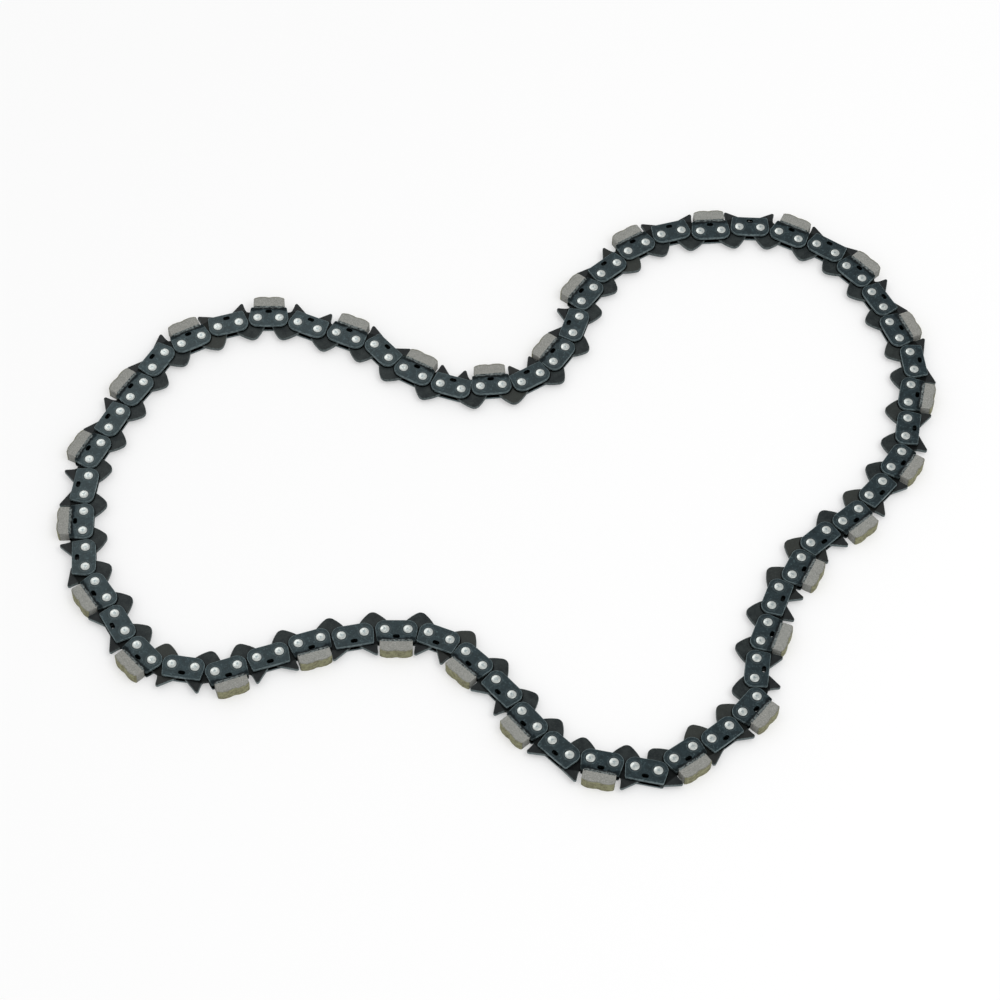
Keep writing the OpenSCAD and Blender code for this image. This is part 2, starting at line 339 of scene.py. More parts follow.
def plate_finish(name, welded):
    f = Finish(name)
    spot = f.attribute("link_place", "Vector")
    height = abs(f.apart(spot, "Z"))
    clouds = f.noise(f.place(), 2.6)
    fine = f.noise(f.place(), 0.55, 3.0)
    blue = f.mix(f.between(clouds, 0.3, 0.7), *OXIDE)
    blue = f.mix(f.attribute("tone") * 0.4, blue, DULL_OXIDE)
    scuffs = f.between(f.noise(f.place(), 1.1, 7.0, 0.8), 0.54, 0.63)
    blue = f.mix(scuffs * 0.55, blue, SCUFFED)
    ring = 1 - f.between(abs(rivet_distance(f, spot) - 0.55), 0.1, 0.45)
    blue = f.mix(ring * 0.18, blue, RUBBED)
    wall = 1 - f.between(height, OUTER_FLAT - 0.45, OUTER_FLAT - 0.3)
    blue = f.mix(wall * 0.6, blue, PUNCHED_WALL)
    # Pale line on the rounded edge: partly worn oxide, partly a painted highlight.
    worn_and_highlit = f.attribute("edge") * (0.35 + f.between(f.noise(f.place(), 1.3), 0.3, 0.6) * 0.65)
    blue = f.mix(worn_and_highlit * 0.5, blue, WORN_AND_HIGHLIT_EDGE)
    # Painted shade: the slot's walls and rim are painted black, partly oil and grime.
    soot_and_shade = 1 - f.between(slot_distance(f, spot), 0.0, 0.2)
    if welded:
        # Black band under the segment: partly heat tint, partly painted shadow of the weld bead.
        up = f.apart(spot, "Y") + abs(f.apart(spot, "X")) * 0.12
        burnt_and_shaded = f.between(up + f.noise(f.place(), 1.8, 5.0, 0.65) * 3.2, 5.9, 6.7)
        soot_and_shade = soot_and_shade.at_least(burnt_and_shaded * 0.65)
    # Painted shade: the inner flats between the plates are painted black, partly oil and grime.
    inside = 1 - f.between(height, INNER_FLAT + 0.1, INNER_FLAT + 0.45)
    black = soot_and_shade.at_least(inside)
    return f.surface(
        Base_Color=f.mix(black, blue, BLACK),
        Metallic=black,
        Roughness=0.27 + fine * 0.16 + black * 0.4,
        Specular_IOR_Level=0.18,
        Specular_Tint=(0.80, 1.0, 1.0),
        Normal=f.bump(fine, 0.04),
    )


cutter_blue = plate_finish("blued_cutter_plate", welded=True)
strap_blue = plate_finish("blued_tie_strap", welded=False)
print("plate finishes:", cutter_blue.name, strap_blue.name)

# %% [markdown]
# ## Drive link, rivet, segment and weld finishes
# Drive links are a plainer charcoal, and no two have quite the same tone. Their walls are sheared
# and paler. The pale line along their edges is partly wear and partly a painted highlight. Towards
# the horn they are painted darker, partly as painted shade from the neighbouring segment. Next to
# the plates and in the gaps between them, the flat is painted black: partly oil, partly painted
# contact shade. Rivets are bare steel, spun over, with a dull sheen. The middle of a head is painted
# darker, partly mottling and partly a painted dark reflection, and its outer rim is a painted
# shadow. A segment is sintered metal powder full of diamond grit: grey and matt at the sides, and
# khaki on the cutting face, where the binder shows. Its edges are chipped and darker. The weld is
# rough grey metal with black patches between its grains. Its pale specks are painted glints, and
# its foot is painted black: partly burnt scale, partly painted shadow of the bead.

# %% Drive link finish
def plate_distance(f, spot):
    """How many millimetres a point lies outside the round ends of the plates over it."""
    from_x = abs(f.apart(spot, "X")) - DRIVE_PITCH / 2
    from_y = f.apart(spot, "Y") - PLATE_END_Y
    return (from_x * from_x + from_y * from_y).root() - PLATE_END_R


CHARCOAL = ((0.005, 0.009, 0.010), (0.018, 0.024, 0.024))
BROWNISH = (0.030, 0.033, 0.028)
SPECKS = (0.060, 0.070, 0.069)
DARK_AND_SHADED_HORN = (0.003, 0.003, 0.004)
SHEARED_WALL = ((0.045, 0.060, 0.062), (0.110, 0.145, 0.150))
WORN_AND_HIGHLIT_CHARCOAL = (0.17, 0.20, 0.20)
OIL_AND_SHADE = (0.003, 0.003, 0.003)


def drive_finish():
    f = Finish("charcoal_drive_link")
    spot = f.attribute("link_place", "Vector")
    across = f.apart(spot, "Y")
    clouds = f.noise(f.place(), 3.0)
    fine = f.noise(f.place(), 0.5, 4.0)
    plain = f.mix(f.between(clouds, 0.3, 0.7), *CHARCOAL)
    base = f.mix(f.between(f.attribute("tone"), 0.84, 0.90) * 0.7, plain, BROWNISH)
    base = f.mix(f.between(fine, 0.52, 0.68) * 0.3, base, SPECKS)
    # Darker towards the horn: partly painted shade from the neighbouring segment.
    base = f.mix(f.between(across, 5.0, 7.0) * 0.5, base, DARK_AND_SHADED_HORN)
    wall = 1 - f.between(abs(f.apart(spot, "Z")), DRIVE_T / 2 - 0.2, DRIVE_T / 2 - 0.05)
    streaks = f.noise(f.place(), 0.9, 5.0, 0.7)
    sheared = f.mix(f.between(across, 3.5, 5.5), *SHEARED_WALL)
    base = f.mix(wall * (0.4 + streaks), base, sheared)
    # Pale line on the edges: partly wear, partly a painted highlight.
    worn_and_highlit = f.attribute("edge") * f.between(f.noise(f.place(), 0.9), 0.3, 0.6)
    base = f.mix(worn_and_highlit * 0.4, base, WORN_AND_HIGHLIT_CHARCOAL)
    # Painted contact shade: the flat next to the plates and between them is painted black, partly oil.
    rim = 1 - f.between(plate_distance(f, spot) + fine * 0.3, 0.35, 0.85)
    under_plates = 1 - f.between(across + fine * 0.4, PLATE_TOP + 0.3, PLATE_TOP + 0.7)
    gap = f.between(across, -3.2, -1.8) * under_plates
    oily_and_shaded = rim.at_least(gap * 0.8)
    return f.surface(
        Base_Color=f.mix(oily_and_shaded, base, OIL_AND_SHADE),
        Metallic=oily_and_shaded,
        Roughness=0.45 + fine * 0.15,
        Specular_IOR_Level=0.12,
        Normal=f.bump(fine, 0.03),
    )


charcoal = drive_finish()


# %% Rivet finish
STEEL = ((0.42, 0.44, 0.42), (0.30, 0.325, 0.32))
DARK_MOTTLE_AND_REFLECTION = (0.15, 0.19, 0.20)
RIM_SHADOW = (0.03, 0.035, 0.036)
FLAT_ONLY = (1, 1, 0)


def rivet_finish():
    f = Finish("spun_rivet_steel")
    spot = f.attribute("link_place", "Vector")
    clouds = f.noise(f.place(), 1.1, 5.0, 0.65)
    steel = f.mix(f.between(clouds, 0.36, 0.66), *STEEL)
    flat_spot = f.add("ShaderNodeVectorMath", {0: spot, 1: FLAT_ONLY}, operation="MULTIPLY")
    from_axis = f.add("ShaderNodeVectorMath", {0: flat_spot}, output="Value", operation="LENGTH")
    # Darker middle of the head: partly mottled steel, partly a painted dark reflection.
    middle = 1 - f.between(from_axis + f.noise(f.place(), 0.8, 5.0, 0.75) * 4.0, 2.3, 2.9)
    steel = f.mix(middle * 0.75, steel, DARK_MOTTLE_AND_REFLECTION)
    # Painted shadow: the outer rim of the head is painted dark.
    shaded_rim = f.between(from_axis, HEAD_R - 0.17, HEAD_R - 0.03)
    return f.surface(
        Base_Color=f.mix(shaded_rim, steel, RIM_SHADOW),
        Metallic=0.5,
        Roughness=0.30 + clouds * 0.14,
        Normal=f.bump(clouds, 0.06),
    )


bare_steel = rivet_finish()


# %% Segment finish
SINTERED_GREY = ((0.205, 0.212, 0.198), (0.295, 0.298, 0.276))
BROWNER_GREY = (0.215, 0.205, 0.185)
GREY_GRIT = ((0.42, 0.42, 0.39), (0.12, 0.12, 0.11))
CHIPPED = (0.12, 0.12, 0.09)
KHAKI = ((0.240, 0.240, 0.138), (0.132, 0.124, 0.071))
KHAKI_GRIT = ((0.32, 0.32, 0.215), (0.08, 0.076, 0.038))


def segment_finish():
    f = Finish("sintered_segment")
    drop = f.attribute("drop")
    grit = f.noise(f.place(), 0.5, 5.0, 0.8)
    light_grains = f.between(grit, 0.50, 0.66)
    dark_grains = f.between(1 - grit, 0.50, 0.66)
    grey = f.mix(f.noise(f.place(), 2.0), *SINTERED_GREY)
    grey = f.mix(f.attribute("tone") * 0.3, grey, BROWNER_GREY)
    grey = f.mix(light_grains * 0.6, grey, GREY_GRIT[0])
    grey = f.mix(dark_grains * 0.6, grey, GREY_GRIT[1])
    ragged_drop = drop - (f.noise(f.place(), 0.9, 4.0, 0.7) - 0.4) * 2.2
    grey = f.mix((1 - f.between(ragged_drop, 0.1, 0.6)) * 0.7, grey, CHIPPED)
    patches = f.noise(f.place(), 1.7, 4.0, 0.65)
    khaki = f.mix(f.between(patches, 0.38, 0.66), *KHAKI)
    khaki = f.mix(light_grains * 0.5, khaki, KHAKI_GRIT[0])
    khaki = f.mix(dark_grains * 0.4, khaki, KHAKI_GRIT[1])
    border = (ragged_drop * 0.5 + drop * 0.5).at_most(drop)
    return f.surface(
        Base_Color=f.mix(1 - f.between(border, 0.02, 0.14), grey, khaki),
        Roughness=0.78 + grit * 0.1,
        Specular_IOR_Level=0.3,
        Normal=f.bump(grit, 0.08),
    )


sintered = segment_finish()


# %% Weld finish
WELD_METAL_AND_GLINTS = ((0.125, 0.148, 0.146), (0.50, 0.55, 0.54))
SCALE_AND_SHADE_BLACK = (0.004, 0.005, 0.006)


def weld_finish():
    f = Finish("weld_bead")
    spot = f.attribute("link_place", "Vector")
    grains = f.noise(f.place(), 1.1, 6.0, 0.75)
    # The pale specks are painted glints on the grey metal.
    metal = f.mix(f.between(grains, 0.60, 0.70) * 0.8, *WELD_METAL_AND_GLINTS)
    wander = f.noise(f.place(), 1.6, 3.0) * 1.6
    # Painted shadow: the bead's foot is painted black, partly burnt scale.
    foot = 1 - f.between(f.apart(spot, "Y") + wander, 5.8, 6.5)
    black = foot.at_least(1 - f.between(grains, 0.39, 0.58))
    return f.surface(
        Base_Color=f.mix(black * 0.95, metal, SCALE_AND_SHADE_BLACK),
        Metallic=black,
        Roughness=0.45 + grains * 0.2,
        Specular_IOR_Level=0.3,
        Normal=f.bump(grains, 0.1),
    )


weld_metal = weld_finish()
print("finishes:", [m.name for m in bpy.data.materials])

# %% [markdown]
# ## Punched plates with rolled edges
# Plates and drive links are punched from sheet, which rolls one edge over and leaves a small
# burr on the other. A Bevel modifier could round them, but it also cuts up the flats. Here a
# helper lays rings of corners up the edge, each a little further in, and fills the two flats.
# An attribute marks the rounded part, where the oxide wears and where a highlight is painted.

# %% Outline helpers
def arc(centre, radius, first, last, steps):
    angles = [math.radians(first + (last - first) * i / steps) for i in range(steps + 1)]
    return [(centre[0] + radius * math.cos(a), centre[1] + radius * math.sin(a)) for a in angles]


def mirrored(points):
    return [(-x, y) for x, y in reversed(points)]


def curve(start, towards, end, steps):
    """Points of a curve that bulges towards a point, without its two ends."""
    points = []
    for t in [i / steps for i in range(1, steps)]:
        weights = ((1 - t) ** 2, 2 * t * (1 - t), t * t)
        points.append(tuple(np.dot(weights, (start, towards, end))))
    return points


def drawn_in(loop, depth):
    """A loop moved to its left by a depth. An outline runs to the left, and a hole to the right."""
    points = np.array(loop)
    ahead = np.roll(points, -1, axis=0) - points
    ahead /= np.hypot(*ahead.T)[:, None]
    left = np.stack([-ahead[:, 1], ahead[:, 0]], axis=1)
    both = left + np.roll(left, 1, axis=0)
    return points + depth * 2 * both / (both ** 2).sum(1)[:, None]


def new_mesh(name, corners, faces, smooth, attributes):
    """A mesh from corners in millimetres. link_place keeps them for the finishes."""
    mesh = bpy.data.meshes.new(name)
    corners = np.array(corners, float)
    mesh.from_pydata((corners * MM).tolist(), [], [tuple(map(int, face)) for face in faces])
    mesh.polygons.foreach_set("use_smooth", smooth)
    place = mesh.attributes.new("link_place", "FLOAT_VECTOR", "POINT")
    place.data.foreach_set("vector", corners.astype(np.float32).ravel())
    for key, values in attributes.items():
        kept = mesh.attributes.new(key, "FLOAT", "POINT")
        kept.data.foreach_set("value", np.array(values, np.float32))
    mesh.update()
    return mesh


# %% A slab with rounded edges
EDGE_R = 0.2
EDGE_FADE = 0.07
HOLE_SHARPNESS = 0.3


def slab(outline, holes, low, high):
    """Corners, faces, which faces are smooth, and which corners are on the outline's rounded edge."""
    rounding = [(EDGE_R + EDGE_FADE, 0), (EDGE_R, 0), (0.3 * EDGE_R, 0.3 * EDGE_R), (0, EDGE_R)]
    rings = [(inset, low + rise) for inset, rise in rounding]
    rings += [(inset, high - rise) for inset, rise in reversed(rounding)]
    corners, faces, smooth, edge = [], [], [], []
    caps = ([], [])
    for loop in [outline, *holes]:
        count, base = len(loop), len(corners)
        share = 1 if loop is outline else HOLE_SHARPNESS
        for inset, z in rings:
            corners += [(x, y, z) for x, y in drawn_in(loop, inset * share)]
            edge += [float(loop is outline and inset <= EDGE_R)] * count
        for ring in range(len(rings) - 1):
            for i in range(count):
                a, b = base + ring * count + i, base + ring * count + (i + 1) % count
                faces.append((a, b, b + count, a + count))
                smooth.append(True)
        caps[0].append(range(base, base + count))
        caps[1].append(range(base + (len(rings) - 1) * count, base + len(rings) * count))
    for loops, upward in zip(caps, (False, True)):
        numbers = [n for loop in loops for n in loop]
        for triangle in tessellate_polygon([[Vector(corners[n]) for n in loop] for loop in loops]):
            a, b, c = [numbers[t] for t in triangle]
            one_side, other_side = np.subtract(corners[b], corners[a]), np.subtract(corners[c], corners[a])
            up = np.cross(one_side, other_side)[2] > 0
            faces.append((a, b, c) if up == upward else (a, c, b))
            smooth.append(False)
    return corners, faces, smooth, edge


def joined(parts):
    corners, faces, smooth, edge = [], [], [], []
    for part in parts:
        faces += [tuple(n + len(corners) for n in face) for face in part[1]]
        corners += part[0]
        smooth += part[2]
        edge += part[3]
    return corners, faces, smooth, edge


# %% Side plates: two to a link
PLATE_LEAN = 0.8
CORNER_R = 0.7
HUB_R = 1.6


def plate_outline():
    top_x = SIDE_PITCH / 2 + PLATE_END_R - PLATE_LEAN
    lean = math.degrees(math.atan(PLATE_LEAN / (PLATE_TOP - PLATE_END_Y)))
    half = arc((SIDE_PITCH / 2, PLATE_END_Y), PLATE_END_R, -90, 0, 8)
    half += arc((top_x - CORNER_R, PLATE_TOP - CORNER_R), CORNER_R, lean, 90, 3)
    return half + mirrored(half)


def slot_outline():
    reach = (SLOT_L - SLOT_W) / 2
    return arc((reach, SLOT_Y), SLOT_W / 2, 90, -90, 6) + arc((-reach, SLOT_Y), SLOT_W / 2, 270, 90, 6)


def side_plates():
    bores = [arc((side * SIDE_PITCH / 2, 0), HUB_R, 360, 30, 11) for side in (-1, 1)]
    holes = [slot_outline(), *bores]
    flats = ((-OUTER_FLAT, -INNER_FLAT), (INNER_FLAT, OUTER_FLAT))
    return joined([slab(plate_outline(), holes, low, high) for low, high in flats])


corners, faces, smooth, edge = side_plates()
plates_mesh = new_mesh("side_plates", corners, faces, smooth, {"edge": edge})
print("a pair of side plates has", len(faces), "faces")

# %% Drive link
DRIVE_GAP = 1.67
BORE_R = 2.45
TANG_R = 3
HORN_H = 10.95
HORN_R = 0.8
HORN_SLOPE = 38
SHOULDER_R = 0.7


def drive_outline():
    drive_half, side_half = DRIVE_PITCH / 2, SIDE_PITCH / 2
    horn_x = drive_half + side_half - SEGMENT_L / 2 - 2.2
    end_r = (SIDE_PITCH - DRIVE_GAP) / 2
    tip = (horn_x - HORN_R, HORN_H - HORN_R)
    foot = (horn_x + 1, PLATE_TOP - 0.6)
    shoulder_x = -drive_half - 2.8
    drop = (tip[0] - shoulder_x) * math.tan(math.radians(HORN_SLOPE))
    lift = (HORN_R - SHOULDER_R) / math.cos(math.radians(HORN_SLOPE))
    tang = arc((0.2, TANG_R - TANG_DEPTH), TANG_R, -130, -50, 8)
    cutter_end = arc((drive_half, 0), end_r, -40, 95, 8)
    strap_end = arc((-drive_half, 0), end_r, 160, 220, 5)
    return (
        tang + curve(tang[-1], (5.4, -6.8), cutter_end[0], 6) + cutter_end
        + [foot] + curve(foot, (horn_x, foot[1]), (horn_x, tip[1]), 5)
        + arc(tip, HORN_R, 0, 90 + HORN_SLOPE, 6)
        + arc((shoulder_x, tip[1] - drop + lift), SHOULDER_R, 90 + HORN_SLOPE, 180, 3)
        + strap_end + curve(strap_end[-1], (-5.4, -6.8), tang[0], 6)
    )


bores = [arc((side * DRIVE_PITCH / 2, 0), BORE_R, 360, 30, 11) for side in (-1, 1)]
corners, faces, smooth, edge = slab(drive_outline(), bores, -DRIVE_T / 2, DRIVE_T / 2)
drive_mesh = new_mesh("drive_link", corners, faces, smooth, {"edge": edge})
print("a drive link has", len(faces), "faces")

# %% [markdown]
# ## Rivets
# A rivet is a turned pin whose two ends are spun over after assembly. The spinning tool leaves a
# low dome with a rounded rim. It is a body of revolution, so its section is turned about its axis.

# %% Rivet
BARREL_R = 2.4
HEAD_H = 0.4
RIVET_SIDES = 24


def rivet_section():
    """From the middle of the barrel up to the top of the head."""
    hub_r = HUB_R - 0.02
    return [
        (BARREL_R, 0), (BARREL_R, INNER_FLAT), (hub_r, INNER_FLAT), (hub_r, OUTER_FLAT),
        (HEAD_R, OUTER_FLAT), (HEAD_R - 0.01, OUTER_FLAT + 0.06), (HEAD_R - 0.07, OUTER_FLAT + 0.13),
        (HEAD_R - 0.25, OUTER_FLAT + 0.2), (HEAD_R - 0.6, OUTER_FLAT + 0.28), (1.0, OUTER_FLAT + 0.36),
        (0.6, OUTER_FLAT + HEAD_H), (0.3, OUTER_FLAT + 0.37),
    ]


def turned(section, top):
    corners = [(r * math.cos(a), r * math.sin(a), z) for r, z in section
               for a in [2 * math.pi * i / RIVET_SIDES for i in range(RIVET_SIDES)]]
    faces = [(k * RIVET_SIDES + i, k * RIVET_SIDES + (i + 1) % RIVET_SIDES,
              (k + 1) * RIVET_SIDES + (i + 1) % RIVET_SIDES, (k + 1) * RIVET_SIDES + i)
             for k in range(len(section) - 1) for i in range(RIVET_SIDES)]
    for ring, z, step in ((len(section) - 1, top, 1), (0, -top, -1)):
        for i in range(RIVET_SIDES):
            pair = [ring * RIVET_SIDES + i, ring * RIVET_SIDES + (i + 1) % RIVET_SIDES][::step]
            faces.append((*pair, len(corners)))
        corners.append((0, 0, z))
    return corners, faces


half = rivet_section()
section = [(r, -z) for r, z in reversed(half[1:])] + half
corners, faces = turned(section, OUTER_FLAT + 0.35)
rivet_mesh = new_mesh("rivet", corners, faces, [True] * len(faces), {})
print("a rivet has", len(faces), "faces")

# %% [markdown]
# ## Diamond segments
# A segment is pressed and sintered, so its edges are slightly round and its faces uneven. It
# starts as a block with corners in rows, closer together near the edges. The edges are rounded
# by pulling each corner back towards a smaller block inside. Then the block is bent to the
# humped outline of the cutting face, and its foot is drawn in a little, where the weld laps over
# it. An attribute keeps each corner's distance from the cutting face, for the chipped edge. The
# roughening comes later, when the segments are in place.

# %% Segment
SEGMENT_H = 5.75
SEGMENT_EDGE_R = 0.16
DIP_L = 2.1
DIP_DEPTH = 0.32
RAMP_L = 2.8
RAMP_DROP = 1.25
KNEE_L = 0.5
KNEE_DROP = 0.72
FOOT_H = 0.75
FOOT_SINK = 0.16


def cutting_face(x):
    """Height of the cutting face over the rivet line: a dip, two humps and sloped ends."""
    dip = DIP_DEPTH * (1 + np.cos(np.pi * np.minimum(abs(x) / DIP_L, 1))) / 2
    end = SEGMENT_L / 2
    slope = np.interp(abs(x), [end - RAMP_L, end - KNEE_L, end], [0, KNEE_DROP, RAMP_DROP])
    return PLATE_TOP + SEGMENT_H - dip - slope


def rows(low, high, count, edge):
    inner = np.linspace(low + edge, high - edge, count)
    return np.concatenate([[low, low + 0.35 * edge], inner, [high - 0.35 * edge, high]])


def block(xs, ys, zs):
    """The outside of a block as corners and quads, from the places of its rows."""
    found, corners, faces = {}, [], []

    def number(*key):
        if key not in found:
            found[key] = len(corners)
            corners.append((xs[key[0]], ys[key[1]], zs[key[2]]))
        return found[key]

    sizes = (len(xs), len(ys), len(zs))
    for axis in range(3):
        one, two = (axis + 1) % 3, (axis + 2) % 3
        for side in (0, sizes[axis] - 1):
            for i in range(sizes[one] - 1):
                for j in range(sizes[two] - 1):
                    key = [0, 0, 0]
                    key[axis] = side
                    quad = []
                    for a, b in ((0, 0), (1, 0), (1, 1), (0, 1)):
                        key[one], key[two] = i + a, j + b
                        quad.append(number(*key))
                    faces.append(quad if side else quad[::-1])
    return np.array(corners), faces


def segment_block():
    half = np.array([SEGMENT_L, SEGMENT_H, SEGMENT_W]) / 2
    xs, ys, zs = [rows(-h, h, n, SEGMENT_EDGE_R) for h, n in zip(half, (26, 9, 8))]
    corners, faces = block(xs, ys, zs)
    core = np.clip(corners, SEGMENT_EDGE_R - half, half - SEGMENT_EDGE_R)
    away = corners - core
    length = np.linalg.norm(away, axis=1)
    rounded = core + away * (SEGMENT_EDGE_R / np.maximum(length, SEGMENT_EDGE_R))[:, None]
    top = cutting_face(rounded[:, 0])
    rounded[:, 1] = PLATE_TOP + (rounded[:, 1] + half[1]) / SEGMENT_H * (top - PLATE_TOP)
    sunk = FOOT_SINK * (rounded[:, 1] < PLATE_TOP + FOOT_H)
    rounded[:, 2] *= 1 - sunk / half[2]
    return rounded, faces, top - rounded[:, 1]


corners, faces, drop = segment_block()
segment_mesh = new_mesh("segment", corners, faces, [True] * len(faces), {"drop": drop})
print("a segment has", len(faces), "faces")

# %% [markdown]
# ## Weld seams
# The weld fills the corner between each plate and the segment's overhang, and laps over the
# segment's foot. It is a rough bead with ripples where the pool of metal set in steps. A section
# is drawn along the plate, with its foot wandering in and out, and the noise roughens it later.

# %% Weld seam
WELD_STEPS = 64
WELD_END = 0.2
WELD_SECTION = [(4.55, -0.1), (4.65, 0.08), (4.9, 0.25), (5.2, 0.4), (5.6, 0.52),
                (6.0, 0.59), (6.35, 0.6), (6.5, 0.5), (6.52, 0.2)]


def weld_bead(side):
    """A bead on the outer flat of the upper plate (side 1) or the lower one (side -1)."""
    reach = SEGMENT_L / 2 - WELD_END
    corners, faces = [], []
    count = len(WELD_SECTION)
    for i in range(WELD_STEPS + 1):
        x = reach * (2 * i / WELD_STEPS - 1)
        close = min(1, (reach - abs(x)) / 0.5 + 0.3)
        wander = 0.1 * math.sin(2.9 * x + side) + 0.07 * math.sin(7 * x - side)
        for y, z in WELD_SECTION:
            corners.append((x, y + wander, side * (OUTER_FLAT + z * (close if z > 0 else 1))))
    for i in range(WELD_STEPS):
        for j in range(count):
            a, b = i * count + j, i * count + (j + 1) % count
            faces.append((a, a + count, b + count, b)[::side])
    last_row = WELD_STEPS * count
    faces.append(tuple(range(count))[::side])
    faces.append(tuple(range(last_row, last_row + count))[::-side])
    return corners, faces, [True] * len(faces), [0.0] * len(corners)


corners, faces, smooth, edge = joined([weld_bead(1), weld_bead(-1)])
weld_mesh = new_mesh("weld_seams", corners, faces, smooth, {})
print("the weld seams of a cutter have", len(faces), "faces")

# %% [markdown]
# ## Putting the links in place
# One Geometry Nodes tree puts a link's mesh on every point of a body, turned as the link lies. It
# gives each link a tone of its own. After the instances are made real, a noise pushes the surface
# in, so no two segments or welds are alike. It only pushes inward, so the links still fit.

# %% The tree
def input_socket(tree, name, kind, default=None):
    socket = tree.interface.new_socket(name, in_out="INPUT", socket_type=kind)
    if default is not None:
        socket.default_value = default
    return socket.identifier


def wired(tree, kind, inputs=(), **settings):
    node = tree.nodes.new(kind)
    for key, value in settings.items():
        setattr(node, key, value)
    for key, value in dict(inputs).items():
        if isinstance(value, bpy.types.NodeSocket):
            tree.links.new(value, node.inputs[key])
        else:
            node.inputs[key].default_value = value
    return node


def link_tree():
    tree = bpy.data.node_groups.new("links_on_points", "GeometryNodeTree")
    tree.is_modifier = True
    names = {
        "Points": input_socket(tree, "Points", "NodeSocketGeometry"),
        "Link": input_socket(tree, "Link", "NodeSocketObject"),
        "Finish": input_socket(tree, "Finish", "NodeSocketMaterial"),
        "Depth": input_socket(tree, "Depth", "NodeSocketFloat", 0.0),
        "Size": input_socket(tree, "Size", "NodeSocketFloat", 0.001),
        "Seed": input_socket(tree, "Seed", "NodeSocketInt", 0),
    }
    tree.interface.new_socket("Geometry", in_out="OUTPUT", socket_type="NodeSocketGeometry")
    given = tree.nodes.new("NodeGroupInput").outputs
    turn = wired(tree, "GeometryNodeInputNamedAttribute", {"Name": "turn"}, data_type="FLOAT_VECTOR")
    rotation = wired(tree, "FunctionNodeEulerToRotation", {0: turn.outputs["Attribute"]})
    link = wired(tree, "GeometryNodeObjectInfo", {"Object": given["Link"]})
    placed = wired(tree, "GeometryNodeInstanceOnPoints",
                   {"Points": given["Points"], "Instance": link.outputs["Geometry"],
                    "Rotation": rotation.outputs[0]})
    chance = wired(tree, "FunctionNodeRandomValue", {"Seed": given["Seed"]}, data_type="FLOAT")
    toned = wired(tree, "GeometryNodeStoreNamedAttribute",
                  {"Geometry": placed.outputs[0], "Name": "tone", "Value": chance.outputs["Value"]},
                  data_type="FLOAT", domain="INSTANCE")
    real = wired(tree, "GeometryNodeRealizeInstances", {"Geometry": toned.outputs[0]})
    fineness = wired(tree, "ShaderNodeMath", {0: 1.0, 1: given["Size"]}, operation="DIVIDE")
    clouds = wired(tree, "ShaderNodeTexNoise", {"Scale": fineness.outputs[0], "Detail": 3.0})
    push = wired(tree, "ShaderNodeMath", {0: clouds.outputs[0], 1: given["Depth"]}, operation="MULTIPLY")
    inward = wired(tree, "ShaderNodeMath", {0: push.outputs[0], 1: -1.0}, operation="MULTIPLY")
    normal = tree.nodes.new("GeometryNodeInputNormal")
    offset = wired(tree, "ShaderNodeVectorMath", {0: normal.outputs[0], "Scale": inward.outputs[0]},
                   operation="SCALE")
    pushed = wired(tree, "GeometryNodeSetPosition",
                   {"Geometry": real.outputs[0], "Offset": offset.outputs[0]})
    done = wired(tree, "GeometryNodeSetMaterial",
                 {"Geometry": pushed.outputs[0], "Material": given["Finish"]})
    wired(tree, "NodeGroupOutput", {0: done.outputs[0]})
    return tree, names


tree, socket_of = link_tree()
print("tree:", tree.name, "with", len(tree.nodes), "nodes")


# %% Make the pieces
def points_object(chosen, height):
    """A mesh of loose points with each link's turn as an attribute."""
    mesh = bpy.data.meshes.new("points")
    mesh.from_pydata([(*(link["middle"] * MM), height * MM) for link in chosen], [], [])
    turns = [(0, math.pi * link.get("turned over", False), link["heading"]) for link in chosen]
    turn = mesh.attributes.new("turn", "FLOAT_VECTOR", "POINT")
    turn.data.foreach_set("vector", np.array(turns, np.float32).ravel())
    holder_object = bpy.data.objects.new("points", mesh)
    bpy.context.scene.collection.objects.link(holder_object)
    return holder_object


def piece(name, body, chosen, mesh, finish, depth=0.0, size=1.0, seed=1):
    """A plain mesh of one kind of link on one body."""
    master = bpy.data.objects.new("master", mesh)
    bpy.context.scene.collection.objects.link(master)
    points = points_object(chosen, MIDDLE_Z)
    modifier = points.modifiers.new("links", "NODES")
    modifier.node_group = tree
    settings = {"Link": master, "Finish": finish, "Seed": seed}
    settings |= {"Depth": depth * MM, "Size": size * MM}
    for key, value in settings.items():
        modifier[socket_of[key]] = value
    graph = bpy.context.evaluated_depsgraph_get()
    result = bpy.data.meshes.new_from_object(
        points.evaluated_get(graph), preserve_all_data_layers=True, depsgraph=graph)
    for used in (points, master):
        bpy.data.objects.remove(used)
    result.name = name
    made = bpy.data.objects.new(name, result)
    bpy.context.scene.collection.objects.link(made)
    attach(made, body)
    return made


def of_kind(body, kind):
    return [link for link in links if link["body"] == body and link["kind"] == kind]


HEADING_STEP = 2.4
SEGMENT_ROUGHNESS = {"depth": 0.14, "size": 1.5}
WELD_ROUGHNESS = {"depth": 0.26, "size": 0.8}

